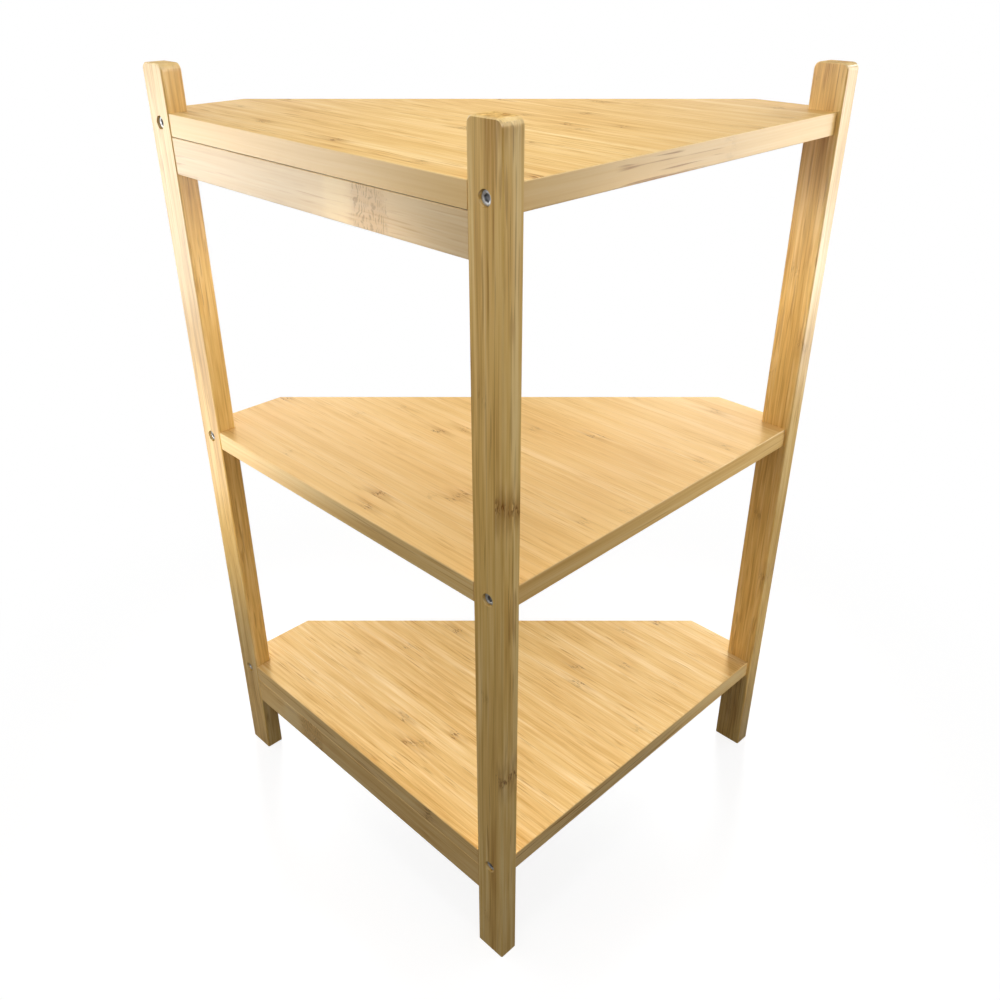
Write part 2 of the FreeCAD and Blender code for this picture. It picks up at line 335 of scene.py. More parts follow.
class GrainGroups:
    """The effects that all the wood finishes share, each a node group that is built once.

    A step is a pair of values: where it is 0 and where it is 1.
    """

    PLACE: ClassVar[dict[str, float]] = {"Along": 0.0, "Across": 0.0, "Layer": 0.0}
    ROW_STEP: ClassVar[float] = 61.0
    JOINT_STEP: ClassVar[Step] = (0.25 * MM, 0.0)

    SHIFT_REACH: ClassVar[float] = 3.7
    BEND: ClassVar[Cloud] = Cloud(7.0, 22.0)
    BEND_REACH: ClassVar[float] = 4.0 * MM
    FINE: ClassVar[Cloud] = Cloud(24.0, 700.0, 3.0)
    MEDIUM: ClassVar[Cloud] = Cloud(11.0, 240.0, 2.0)
    SLOW: ClassVar[Cloud] = Cloud(4.0, 70.0, 2.0)
    BUNDLES: ClassVar[Cloud] = Cloud(38.0, 620.0, empty=0.56, full=0.70)
    CLUSTERS: ClassVar[Cloud] = Cloud(12.0, 70.0, empty=0.44, full=0.64)

    WAVE: ClassVar[Cloud] = Cloud(30.0, 160.0)
    WAVE_REACH: ClassVar[float] = 16.0 * MM
    WEIGHT_STEP: ClassVar[Step] = (0.45, 0.95)
    SMUDGE_STEP: ClassVar[Step] = (24.0 * MM, 1.0 * MM)
    CORE_STEP: ClassVar[Step] = (7.0 * MM, 0.5 * MM)
    HALO_STEP: ClassVar[Step] = (36.0 * MM, 8.0 * MM)
    SMUDGES: ClassVar[Cloud] = Cloud(42.0, 360.0, 2.0, empty=0.30, full=0.62)
    DOTS: ClassVar[Cloud] = Cloud(190.0, 760.0, 1.5, 0.9, empty=0.50, full=0.60)
    LIGHTS: ClassVar[Cloud] = Cloud(24.0, 420.0, empty=0.54, full=0.70)

    FOLDS: ClassVar[Cloud] = Cloud(85.0, 60.0)
    FOLD_REACH: ClassVar[float] = 16.0 * MM
    CURLS: ClassVar[Cloud] = Cloud(160.0, 420.0, 2.0)
    CURL_REACH: ClassVar[float] = 2.4 * MM
    RAGGED_REACH: ClassVar[float] = 8.0 * MM
    BAND_STEP: ClassVar[Step] = (18.0 * MM, 11.0 * MM)
    BESIDE_PLACE: ClassVar[float] = 30.0 * MM
    BESIDE_STEP: ClassVar[Step] = (16.0 * MM, 6.0 * MM)
    WRINKLE_PITCH: ClassVar[float] = 2.6 * MM
    CREST_STEP: ClassVar[Step] = (0.30, 0.06)
    WHOLE: ClassVar[Cloud] = Cloud(240.0, 300.0, empty=0.38, full=0.56)

    ARRIS_STEP: ClassVar[Step] = (0.995, 0.93)
    LEVEL_STEP: ClassVar[Step] = (0.6, 0.75)
    DOWN_STEP: ClassVar[Step] = (-0.2, -0.5)
    OUTER_STEP: ClassVar[Step] = (0.2, 0.5)
    SIDE_TURN: ClassVar[float] = math.pi / 4

    def __init__(self) -> None:
        """Builds the groups."""
        self.strips = self._strips()
        self.fibres = self._fibres()
        self.knuckles = self._knuckles()
        self.wrinkles = self._wrinkles()
        self.faces = self._faces()

    def _strips(self) -> bpy.types.NodeTree:
        """Builds the layout of glued strips.

        The section is cut into cells of one width and one thickness, and each cell draws three random
        numbers. Joint is 1 on the glue line between two cells.

        Returns:
            The group's tree.
        """
        inputs = {"Across": 0.0, "Layer": 0.0, "Width": 0.016, "Thickness": 0.005, "Seed": 0.0}
        draft = GroupDraft.start("strip_layout", inputs, ("Tone", "Phase", "Weight", "Joint"))
        sheet, given = draft.sheet, draft.given
        column = sheet.math("DIVIDE", given["Across"], given["Width"])
        row = sheet.math("DIVIDE", given["Layer"], given["Thickness"])
        column_number, row_number = (sheet.math("FLOOR", count) for count in (column, row))
        cell = sheet.math("MULTIPLY_ADD", row_number, self.ROW_STEP, column_number)
        draw = sheet.node("ShaderNodeTexWhiteNoise", noise_dimensions="1D")
        sheet.fill(draw, W=sheet.math("ADD", cell, given["Seed"]))
        picks = sheet.node("ShaderNodeSeparateColor", draw.outputs["Color"]).outputs
        gaps = []
        for count, size in ((column, given["Width"]), (row, given["Thickness"])):
            off_middle = sheet.math("ABSOLUTE", sheet.centred(sheet.math("FRACT", count)))
            gaps.append(sheet.math("MULTIPLY", sheet.math("SUBTRACT", 0.5, off_middle), size))
        joint = sheet.ease(sheet.math("MINIMUM", *gaps), *self.JOINT_STEP)
        return draft.put(Tone=picks[0], Phase=picks[1], Weight=picks[2], Joint=joint)

    def _fibres(self) -> bpy.types.NodeTree:
        """Builds the fibres, as noise drawn out along the grain.

        The fibres bend a little: the way across is pushed about by slow noise. Fine is the thread-like tone
        of single fibres, which breaks off at a strip's sides, Medium that of bundles some millimetres wide,
        Slow the broad change, and Dashes the dark bundles, which come in loose clusters. Draw is how many
        times longer than usual they all are, and Gather makes a cluster where it is 1.

        Returns:
            The group's tree.
        """
        inputs = {**self.PLACE, "Shift": 0.0, "Draw": 1.0, "Gather": 0.0}
        draft = GroupDraft.start("fibres", inputs, ("Fine", "Medium", "Slow", "Dashes"))
        sheet, given = draft.sheet, draft.given
        bend = sheet.wobble(draft.place(), self.BEND)
        across = sheet.math("MULTIPLY_ADD", bend, self.BEND_REACH, given["Across"])
        along = sheet.math("DIVIDE", given["Along"], given["Draw"])
        moved = sheet.math("MULTIPLY_ADD", given["Shift"], self.SHIFT_REACH, along)
        own = sheet.point(moved, across, given["Layer"])
        shared = sheet.point(along, across, given["Layer"])
        clusters = sheet.math("MAXIMUM", sheet.patches(shared, self.CLUSTERS), given["Gather"])
        return draft.put(
            Fine=sheet.noise(own, self.FINE),
            Medium=sheet.noise(shared, self.MEDIUM),
            Slow=sheet.noise(shared, self.SLOW),
            Dashes=sheet.math("MULTIPLY", sheet.patches(own, self.BUNDLES), clusters),
        )

    def _knuckles(self) -> bpy.types.NodeTree:
        """Builds the culm's knuckles as they show on a strip's edge, each at its own place along the grain.

        The distance to the nearest knuckle is a saw tooth of the way along, shifted by the strip's phase and
        made uneven across the strip. Smudge is the brown patch of short streaks, Specks the dark dots in the
        middle of it, Pale the light streaks round it, and Swell the whole of the middle.

        Returns:
            The group's tree.
        """
        inputs = {**self.PLACE, "Phase": 0.0, "Weight": 1.0, "Spacing": 0.24}
        draft = GroupDraft.start("knuckles", inputs, ("Smudge", "Specks", "Pale", "Swell"))
        sheet, given = draft.sheet, draft.given
        place = draft.place()
        wave = sheet.wobble(place, self.WAVE)
        uneven = sheet.math("MULTIPLY_ADD", wave, self.WAVE_REACH, given["Along"])
        turns = sheet.math("ADD", sheet.math("DIVIDE", uneven, given["Spacing"]), given["Phase"])
        saw = sheet.centred(sheet.math("FRACT", turns))
        gap = sheet.math("ABSOLUTE", sheet.math("MULTIPLY", saw, given["Spacing"]))
        strength = sheet.ease(given["Weight"], *self.WEIGHT_STEP)
        reach, core, halo = (
            sheet.math("MULTIPLY", sheet.ease(gap, *step), strength)
            for step in (self.SMUDGE_STEP, self.CORE_STEP, self.HALO_STEP)
        )
        return draft.put(
            Smudge=sheet.math("MULTIPLY", sheet.patches(place, self.SMUDGES), reach),
            Specks=sheet.math("MULTIPLY", sheet.patches(place, self.DOTS), core),
            Pale=sheet.math("MULTIPLY", sheet.patches(place, self.LIGHTS), halo),
            Swell=core,
        )

    def _wrinkles(self) -> bpy.types.NodeTree:
        """Builds a knuckle as it shows on a strip's broad face: a band of fine wrinkles across the grain.

        The wrinkles are the crests of a saw tooth of the way to the band's middle, bent by slow and quick
        noise until they close into loops, broken up and faded out towards both sides of the band. Beside is
        the pale zone next to it.

        Returns:
            The group's tree.
        """
        draft = GroupDraft.start("wrinkles", {**self.PLACE, "Place": 0.0}, ("Lines", "Band", "Beside"))
        sheet, given = draft.sheet, draft.given
        place = draft.place()
        folds = sheet.wobble(place, self.FOLDS)
        curls = sheet.wobble(place, self.CURLS)
        way = sheet.math("SUBTRACT", given["Along"], given["Place"])
        ragged = sheet.math("MULTIPLY_ADD", curls, self.RAGGED_REACH, way)
        band = sheet.ease(sheet.math("ABSOLUTE", ragged), *self.BAND_STEP)
        off_beside = sheet.math("ABSOLUTE", sheet.math("SUBTRACT", ragged, self.BESIDE_PLACE))
        bent = sheet.math("MULTIPLY_ADD", folds, self.FOLD_REACH, way)
        gap = sheet.math("MULTIPLY_ADD", curls, self.CURL_REACH, bent)
        saw = sheet.math("FRACT", sheet.math("DIVIDE", gap, self.WRINKLE_PITCH))
        crest = sheet.ease(sheet.math("ABSOLUTE", sheet.centred(saw)), *self.CREST_STEP)
        broken = sheet.math("MULTIPLY", crest, sheet.patches(place, self.WHOLE))
        return draft.put(
            Lines=sheet.math("MULTIPLY", broken, band),
            Band=band,
            Beside=sheet.ease(off_beside, *self.BESIDE_STEP),
        )

    def _faces(self) -> bpy.types.NodeTree:
        """Builds what depends on the way a face points.

        A face's normal points along an axis or along the panels' cut corner. Arris rises with the angle to
        the nearest of these, so it is 0 on the faces and 1 in the middle of an eased edge. Under is the same
        on the edges that look down on the rails' outer side, and marks where the finishes paint shade. Level
        is 1 on faces that lie flat, up or down.
        Way is the distance along an upright face: the place in plan times the normal in plan, turned by a
        quarter. Side is a whole number for each upright face: the normal's angle in plan, in eighths of a
        turn.

        Returns:
            The group's tree.
        """
        draft = GroupDraft.start("faces", {}, ("Arris", "Under", "Level", "Way", "Side"))
        sheet = draft.sheet
        coordinates = sheet.node("ShaderNodeTexCoord").outputs
        normal = coordinates["Normal"]
        parts = sheet.parts(normal)
        cut_corner = Vector((1.0, -1.0, 0.0)).normalized()
        nearest = sheet.math("ABSOLUTE", sheet.vector("DOT_PRODUCT", normal, cut_corner[:]).outputs["Value"])
        for part in parts:
            nearest = sheet.math("MAXIMUM", nearest, sheet.math("ABSOLUTE", part))
        arris = sheet.ease(nearest, *self.ARRIS_STEP)
        downwards = sheet.math("MULTIPLY", arris, sheet.ease(parts["Z"], *self.DOWN_STEP))
        turned = sheet.point(parts["Y"], sheet.math("MULTIPLY", parts["X"], -1.0), 0.0)
        angle = sheet.math("ARCTAN2", parts["Y"], parts["X"])
        return draft.put(
            Arris=arris,
            Under=sheet.math("MULTIPLY", downwards, sheet.ease(parts["Y"], *self.OUTER_STEP)),
            Level=sheet.ease(sheet.math("ABSOLUTE", parts["Z"]), *self.LEVEL_STEP),
            Way=sheet.vector("DOT_PRODUCT", coordinates["Object"], turned).outputs["Value"],
            Side=sheet.math("ROUND", sheet.math("DIVIDE", angle, self.SIDE_TURN)),
        )


@dataclass(frozen=True)
class Lamination:
    """How strips are glued up to make a piece.

    The cells reach a margin past the piece's faces, so that no glue line lies on a face. On a lipped piece
    the upright edges are covered by strips of their own, whose grain follows the edge.
    """

    low: Vector
    high: Vector
    along: Axis
    across: Axis
    layer: Axis
    strips: int
    layers: int
    lipped: bool = False
    margin: float = 0.6 * MM

    @property
    def start(self) -> Vector:
        """The corner that the cells are counted from."""
        return self.low - Vector((self.margin,) * 3)

    def cell(self, axis: Axis, count: int) -> float:
        """The size of one of so many cells along an axis."""
        return (self.high[axis.value] - self.low[axis.value] + 2 * self.margin) / count


@dataclass(frozen=True)
class Marks:
    """What the shared groups give at a point of one piece, and how strongly its grain shows there."""

    faces: Outputs
    strips: Outputs
    fibres: Outputs
    knuckles: Outputs
    swing: Feed
    dashes: Feed


@dataclass(frozen=True)
class BambooFinish:
    """Laminated bamboo under a satin lacquer."""

    SIDE_LAYERS: ClassVar[int] = 8
    SEED_STEP: ClassVar[float] = 10.0 * MM
    GATHER_SIDE: ClassVar[float] = 4.0
    dark: Colour = paint(212, 160, 76)
    middle: Colour = paint(237, 196, 123)
    pale: Colour = paint(251, 221, 160)
    streak: Colour = paint(180, 120, 26)
    knuckle: Colour = paint(138, 84, 16)
    fleck: Colour = paint(250, 222, 166)
    joint: Colour = paint(150, 104, 54)
    # Pale colour of eased edges: partly sanded wood, partly a painted highlight.
    sanded_and_highlight: Colour = paint(246, 214, 156)
    # Painted shade: the dark colour laid on edges that look down over the rails' outer side.
    under_shade: Colour = paint(96, 66, 30)
    strip_contrast: float = 0.16
    slow_contrast: float = 0.8
    medium_contrast: float = 0.8
    fine_contrast: float = 0.9
    edge_contrast: float = 1.0
    edge_dashes: float = 1.6
    edge_draw: float = 2.4
    gather: float | None = None
    gather_reach: float = 38.0 * MM
    gather_fade: float = 1.4
    draw: float = 1.0
    dash_share: float = 0.5
    smudge_share: float = 0.45
    speck_share: float = 0.8
    pale_share: float = 0.35
    wrinkle_share: float = 0.5
    joint_share: float = 0.3
    arris_share: float = 0.3
    # How much painted shade those downward edges get.
    under_shade_share: float = 0.0
    band_share: float = 0.35
    knuckle_spacing: float = 0.24
    gloss: float = 0.18
    coat: float = 0.7
    coat_roughness: float = 0.3
    gloss_roughness: float = 0.3
    level_roughness: float = 0.65
    fibre_roughness: float = 0.10
    dash_roughness: float = 0.06
    speck_roughness: float = 0.10
    bump: float = 0.12
    bump_depth: float = 0.25 * MM
    dash_height: float = -0.6
    knuckle_height: float = 0.5
    joint_height: float = -0.5

    def graded(self, times: float) -> "BambooFinish":
        """Gives the same finish with a stronger or weaker grain.

        Args:
            times: How many times as strong it is.

        Returns:
            The other finish.
        """
        return replace(
            self,
            slow_contrast=self.slow_contrast * times,
            medium_contrast=self.medium_contrast * times,
            fine_contrast=self.fine_contrast * times,
            dash_share=self.dash_share * times,
        )

    def material(
        self, name: str, groups: GrainGroups, lay: Lamination, seed: float, wrinkle: float | None = None
    ) -> bpy.types.Material:
        """Makes the material of one piece.

        Args:
            name: The material's name.
            groups: The shared wood effects.
            lay: How the piece's strips run.
            seed: A number that sets the piece's own strips apart.
            wrinkle: Where along the grain a wrinkled knuckle crosses the whole piece, if one does.

        Returns:
            The material.
        """
        made = bpy.data.materials.new(name)
        sheet = NodeSheet.blank(made)
        faces = sheet.group(groups.faces)
        along, across, layer, width = self._axes(sheet, lay, faces)
        place = {"Along": along, "Across": across, "Layer": layer}
        marks = self._marks(sheet, groups, lay, seed, faces, place, width)
        colour = self._colour(sheet, marks)
        if wrinkle is not None:
            wrinkles = sheet.group(groups.wrinkles, **place, Place=wrinkle)
            colour = self._cover(sheet, colour, wrinkles["Beside"], self.pale_share, self.fleck)
            colour = self._cover(sheet, colour, wrinkles["Band"], self.band_share, self.dark)
            colour = self._cover(sheet, colour, wrinkles["Lines"], self.wrinkle_share, self.knuckle)
        # Eased edges are paled: partly sanded wood, partly a painted highlight where light catches them.
        colour = self._cover(sheet, colour, faces["Arris"], self.arris_share, self.sanded_and_highlight)
        # Painted shade: edges that look down over the rails' outer side are darkened to stand in for the shade
        # under them.
        colour = self._cover(sheet, colour, faces["Under"], self.under_shade_share, self.under_shade)
        shader = sheet.fill(
            sheet.node("ShaderNodeBsdfPrincipled"),
            Base_Color=colour,
            Roughness=self._roughness(sheet, marks),
            Specular_IOR_Level=self.gloss,
            Coat_Weight=sheet.math("MULTIPLY", sheet.rest(faces["Level"]), self.coat),
            Coat_Roughness=self.coat_roughness,
            Normal=self._normal(sheet, marks),
        )
        sheet.surface(shader)
        return made

    def _axes(self, sheet: NodeSheet, lay: Lamination, faces: Outputs) -> tuple[Feed, Feed, Feed, Feed]:
        """Finds a point's way along the grain, across it and through the layers.

        On the upright edges of a lipped piece the first is the way along the edge, the second the height, and
        one strip takes the whole edge.

        Args:
            sheet: Where the nodes go.
            lay: How the piece's strips run.
            faces: The outputs of the group that tells faces apart.

        Returns:
            The three distances and the strips' width.
        """
        place = sheet.node("ShaderNodeTexCoord").outputs["Object"]
        parts = sheet.parts(sheet.vector("SUBTRACT", place, lay.start[:]).outputs[0])
        along, across, layer = (parts[axis.value] for axis in (lay.along, lay.across, lay.layer))
        width: Feed = lay.cell(lay.across, lay.strips)
        if lay.lipped:
            level = faces["Level"]
            apart = self.SIDE_LAYERS * lay.cell(lay.layer, lay.layers)
            edge_layer = sheet.math("MULTIPLY_ADD", faces["Side"], apart, lay.margin)
            along = sheet.choose(level, faces["Way"], along)
            across = sheet.choose(level, parts["Z"], across)
            width = sheet.choose(level, lay.cell(Axis.Z, 1), width)
            layer = sheet.choose(level, edge_layer, layer)
        return along, across, layer, width

    def _marks(
        self,
        sheet: NodeSheet,
        groups: GrainGroups,
        lay: Lamination,
        seed: float,
        faces: Outputs,
        place: dict[str, Feed],
        width: Feed,
    ) -> Marks:
        """Places the shared groups with this piece's values.

        On the upright edges of a lipped piece the grain has its own contrast, dark bundles and length. The
        knuckles of an upright piece leave out its ends.

        Args:
            sheet: Where the nodes go.
            groups: The shared wood effects.
            lay: How the piece's strips run.
            seed: A number that sets the piece's own strips apart.
            faces: The outputs of the group that tells faces apart.
            place: The point along the grain, across it and through the layers, by the groups' input names.
            width: The strips' width.

        Returns:
            The groups' outputs and the grain's strength.
        """
        thickness = lay.cell(lay.layer, lay.layers)
        strips = sheet.group(
            groups.strips,
            Across=place["Across"],
            Layer=place["Layer"],
            Width=width,
            Thickness=thickness,
            Seed=seed,
        )
        swing: Feed = 1.0
        dashes: Feed = self.dash_share
        draw: Feed = self.draw
        gathered: Feed = 0.0
        if lay.lipped:
            level = faces["Level"]
            on_edge: Feed = self.dash_share * self.edge_dashes
            if self.gather is not None:
                gathered = self._gathered(sheet, faces, self.gather)
                on_edge = sheet.math("MULTIPLY", gathered, on_edge)
            swing = sheet.choose(level, self.edge_contrast, 1.0)
            dashes = sheet.choose(level, on_edge, self.dash_share)
            draw = sheet.choose(level, self.edge_draw, self.draw)
        deep = {**place, "Layer": sheet.math("ADD", place["Layer"], seed * self.SEED_STEP)}
        fibres = sheet.group(groups.fibres, **deep, Shift=strips["Phase"], Draw=draw, Gather=gathered)
        weight = strips["Weight"]
        if lay.along is Axis.Z:
            weight = sheet.math("MULTIPLY", weight, sheet.rest(faces["Level"]))
        knuckles = sheet.group(
            groups.knuckles, **place, Phase=strips["Phase"], Weight=weight, Spacing=self.knuckle_spacing
        )
        return Marks(faces, strips, fibres, knuckles, swing, dashes)

    def _gathered(self, sheet: NodeSheet, faces: Outputs, place: float) -> Feed:
        """Finds where the dark bundles gather, on the upright edge that looks away from X.

        Args:
            sheet: Where the nodes go.
            faces: The outputs of the group that tells faces apart.
            place: The middle of them, along the edge.

        Returns:
            A mask that is 1 near the place and 0 elsewhere.
        """
        off = sheet.math("ABSOLUTE", sheet.math("SUBTRACT", faces["Way"], place))
        near = sheet.ease(off, self.gather_fade * self.gather_reach, self.gather_reach)
        facing = sheet.math("COMPARE", sheet.math("ABSOLUTE", faces["Side"]), self.GATHER_SIDE, 0.5)
        return sheet.math("MULTIPLY", sheet.math("MULTIPLY", near, facing), sheet.rest(faces["Level"]))

    def _cover(self, sheet: NodeSheet, colour: Feed, mask: Feed, share: Feed, cover: Colour) -> Feed:
        """Lays a colour over another where a mask is, up to a share."""
        return sheet.mix(sheet.math("MULTIPLY", mask, share), colour, cover)

    def _colour(self, sheet: NodeSheet, marks: Marks) -> Feed:
        """Paints the strips by their tone, then lays streaks, knuckles and glue lines over them.

        The tone adds up the strip's own, its slow change and its fibres, times the swing, about a half.

        Args:
            sheet: Where the nodes go.
            marks: What the shared groups give.

        Returns:
            The colour.
        """
        tone: Feed = 0.0
        for source, contrast in (
            (marks.strips["Tone"], self.strip_contrast),
            (marks.fibres["Slow"], self.slow_contrast),
            (marks.fibres["Medium"], self.medium_contrast),
            (marks.fibres["Fine"], self.fine_contrast),
        ):
            tone = sheet.math("MULTIPLY_ADD", sheet.centred(source), contrast, tone)
        ramp = sheet.node("ShaderNodeValToRGB", sheet.math("MULTIPLY_ADD", tone, marks.swing, 0.5))
        steps = ramp.color_ramp.elements
        steps[0].color = self.dark
        steps[1].color = self.pale
        steps.new(0.5).color = self.middle
        colour: Feed = ramp.outputs["Color"]
        for mask, share, cover in (
            (marks.fibres["Dashes"], marks.dashes, self.streak),
            (marks.knuckles["Pale"], self.pale_share, self.fleck),
            (marks.knuckles["Smudge"], self.smudge_share, self.streak),
            (marks.knuckles["Specks"], self.speck_share, self.knuckle),
            (marks.strips["Joint"], self.joint_share, self.joint),
        ):
            colour = self._cover(sheet, colour, mask, share, cover)
        return colour

    def _roughness(self, sheet: NodeSheet, marks: Marks) -> Feed:
        """Makes the lacquer duller on level faces, and a little on fibres and knuckles, where it sinks in.

        Args:
            sheet: Where the nodes go.
            marks: What the shared groups give.

        Returns:
            The roughness.
        """
        rough = sheet.choose(marks.faces["Level"], self.gloss_roughness, self.level_roughness)
        for source, share in (
            (sheet.centred(marks.fibres["Fine"]), self.fibre_roughness),
            (marks.fibres["Dashes"], self.dash_roughness),
            (marks.knuckles["Specks"], self.speck_roughness),
        ):
            rough = sheet.math("MULTIPLY_ADD", source, share, rough)
        return rough

    def _normal(self, sheet: NodeSheet, marks: Marks) -> Feed:
        """Raises fibres and knuckles and sinks the dark bundles and glue lines, all very slightly.

        Args:
            sheet: Where the nodes go.
            marks: What the shared groups give.

        Returns:
            The normal.
        """
        height: Feed = marks.fibres["Fine"]
        for source, share in (
            (marks.fibres["Dashes"], self.dash_height),
            (marks.knuckles["Swell"], self.knuckle_height),
            (marks.strips["Joint"], self.joint_height),
        ):
            height = sheet.math("MULTIPLY_ADD", source, share, height)
        return sheet.bump(height, self.bump, self.bump_depth)


@dataclass(frozen=True)
class SteelFinish:
    """Bright plated steel with faint turning marks that follow the piece's UV map, painted darker inside the
    socket as painted shade of the recess.

    The UV map's second coordinate is the way along the profile from the socket's mouth, less than 0 inside
    it.
    """

    bright: Colour = paint(206, 207, 207)
    dull: Colour = paint(170, 171, 172)
    # Painted shade: the darker colour inside the socket stands in for the shade of the recess.
    socket: Colour = paint(150, 150, 151)
    turning: Cloud = Cloud(3.0, 420.0, 2.0)
    mottle: Cloud = Cloud(700.0, 700.0, 3.0, empty=0.35, full=0.75)
    mouth_depth: float = 0.6 * MM
    roughness: float = 0.46
    turning_roughness: float = 0.16
    mottle_roughness: float = 0.08
    bump: float = 0.08
    bump_depth: float = 0.05 * MM

    def material(self, name: str) -> bpy.types.Material:
        """Makes the material.

        Args:
            name: The material's name.

        Returns:
            The material.
        """
        made = bpy.data.materials.new(name)
        sheet = NodeSheet.blank(made)
        coordinates = sheet.node("ShaderNodeTexCoord").outputs
        rings = sheet.noise(coordinates["UV"], self.turning)
        cloud = sheet.noise(coordinates["Object"], self.mottle)
        # Painted shade: the colour darkens down into the socket.
        inside = sheet.ease(sheet.parts(coordinates["UV"])["Y"], 0.0, -self.mouth_depth)
        plated = sheet.mix(sheet.ease(cloud, self.mottle.empty, self.mottle.full), self.bright, self.dull)
        turned = sheet.math("MULTIPLY_ADD", sheet.centred(rings), self.turning_roughness, self.roughness)
        shader = sheet.fill(
            sheet.node("ShaderNodeBsdfPrincipled"),
            Base_Color=sheet.mix(inside, plated, self.socket),
            Metallic=1.0,
            Roughness=sheet.math("MULTIPLY_ADD", cloud, self.mottle_roughness, turned),
            Normal=sheet.bump(rings, self.bump, self.bump_depth),
        )
        sheet.surface(shader)
        return made


def placed(name: str, data: bpy.types.ID) -> bpy.types.Object:
    """Makes an object of a mesh, a lamp or a camera and links it to the scene.

    Args:
        name: The object's name.
        data: What it shows.

    Returns:
        The new object.
    """
    made = bpy.data.objects.new(name, data)
    bpy.context.scene.collection.objects.link(made)
    return made


def aimed(name: str, data: bpy.types.ID, place: Point, aim: Point) -> bpy.types.Object:
    """Makes an object of a lamp or a camera that looks at a point.

    Args:
        name: The object's name.
        data: The lamp or the camera.
        place: Where it stands.
        aim: The point that it looks at.

    Returns:
        The new object.
    """
    made = placed(name, data)
    made.location = place
    made.rotation_mode = "QUATERNION"
    made.rotation_quaternion = (Vector(aim) - Vector(place)).to_track_quat("-Z", "Y")
    return made


def stand_in(piece: bpy.types.Object, node: str, slot: str, material: bpy.types.Material) -> bpy.types.Object:
    """Gives a made piece its finish and puts it in the place of a CAD node.

    Args:
        piece: The piece.
        node: The CAD node that it replaces.
        slot: The slot of its finish; not used.
        material: The finish's material.

    Returns:
        The same piece.
    """
    piece.data.materials.append(material)
    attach(piece, BODY)
    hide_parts(node)
    return piece


def rings_on_axis(centre: Vector, axis: Vector, ways: np.ndarray, radii: np.ndarray) -> np.ndarray:
    """Sets rings of given radii round an axis.

    Point (i, j) is the centre, plus the axis times way i, plus radius (i, j) in the direction of column j's
    angle in the plane across the axis.

    Args:
        centre: Where the way along the axis is 0.
        axis: The axis, of length 1.
        ways: The way along the axis at each ring.
        radii: The radius at each ring and column.

    Returns:
        Points as an array of rings, columns and coordinates.
    """
    columns = radii.shape[1]
    angles = 2 * np.pi * np.arange(columns) / columns
    side = np.array(axis.orthogonal().normalized())
    other = np.cross(np.array(axis), side)
    spokes = np.cos(angles)[:, None] * side + np.sin(angles)[:, None] * other
    return np.array(centre) + ways[:, None, None] * np.array(axis) + radii[..., None] * spokes


def profile_ways(ways: np.ndarray, radii: np.ndarray) -> np.ndarray:
    """Adds up the way along a profile, from its steps along the axis and those of its mean radius."""
    return np.cumsum(np.hypot(np.gradient(ways), np.gradient(radii.mean(axis=1))))


def turned_map(ways: np.ndarray, columns: int) -> np.ndarray:
    """Works out the UV map of a lathed mesh, corner by corner in the order of its faces.

    The first coordinate is the share of a turn and the second the way along the profile. The tips of the two
    end fans lie half a column on.

    Args:
        ways: The way along the profile at each ring.
        columns: How many columns go round.

    Returns:
        The coordinates, as one row of numbers.
    """
    turn = np.arange(columns) / columns
    after = turn + 1 / columns
    middle = turn + 0.5 / columns
    level = np.repeat(ways[:, None], columns, axis=1)
    upper, lower = level[1:-2], level[2:-1]
    start, end = (np.broadcast_to(side, upper.shape) for side in (turn, after))
    fan_first = np.stack([middle, level[0], after, level[1], turn, level[1]], axis=-1)
    between = np.stack([start, upper, end, upper, end, lower, start, lower], axis=-1)
    fan_last = np.stack([turn, level[-2], after, level[-2], middle, level[-1]], axis=-1)
    return np.concatenate([part.ravel() for part in (fan_first, between, fan_last)])


def lathe(name: str, rings: np.ndarray, ways: np.ndarray, sharp_degrees: float) -> bpy.types.Object:
    """Makes a closed mesh from rings of points, the first and last of which are single points.

    Vertex (i, j) is point j of ring i, ring i meets ring i + 1 in quads, and the two end rings shrink to one
    vertex each, with a fan round it.

    Args:
        name: The piece's name.
        rings: Points as an array of rings, columns and coordinates.
        ways: The way along the profile at each ring.
        sharp_degrees: Edges that turn by more than this stay sharp.

    Returns:
        The new object, linked to the scene.
    """
    count, columns = rings.shape[:2]
    points = np.concatenate([rings[0, :1], rings[1:-1].reshape(-1, 3), rings[-1, :1]])
    number = 1 + np.arange((count - 2) * columns).reshape(count - 2, columns)
    beside = np.roll(number, -1, axis=1)
    end = np.full(columns, len(points) - 1)
    first = np.stack([np.zeros(columns, int), beside[0], number[0]], axis=1)
    quads = np.stack([number[:-1], beside[:-1], beside[1:], number[1:]], axis=-1).reshape(-1, 4)
    last = np.stack([number[-1], beside[-1], end], axis=1)
    mesh = bpy.data.meshes.new(name)
    mesh.from_pydata(points.tolist(), [], [*first.tolist(), *quads.tolist(), *last.tolist()])
    layer = mesh.uv_layers.new(name="turned")
    layer.data.foreach_set("uv", turned_map(ways, columns))
    mesh.shade_smooth()
    mesh.set_sharp_from_angle(angle=math.radians(sharp_degrees))
    return placed(name, mesh)


@dataclass(frozen=True)
class Panel:
    """One CAD node that keeps its shape and gets a bamboo finish, with a wrinkled knuckle if one is seen."""

    node: str
    seed: float
    finish: BambooFinish = BambooFinish()
    wrinkle: float | None = None

    def dress(self, groups: GrainGroups, lay: Lamination) -> bpy.types.Object:
        """Puts the finish on the node.

        Args:
            groups: The shared wood effects.
            lay: How the node's strips run.

        Returns:
            The node's object.
        """
        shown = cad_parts[self.node]
        material = self.finish.material(f"bamboo_{self.node}", groups, lay, self.seed, self.wrinkle)
        if not shown.material_slots:
            shown.data.materials.append(material)
        for place in shown.material_slots:
            place.material = material
        return shown


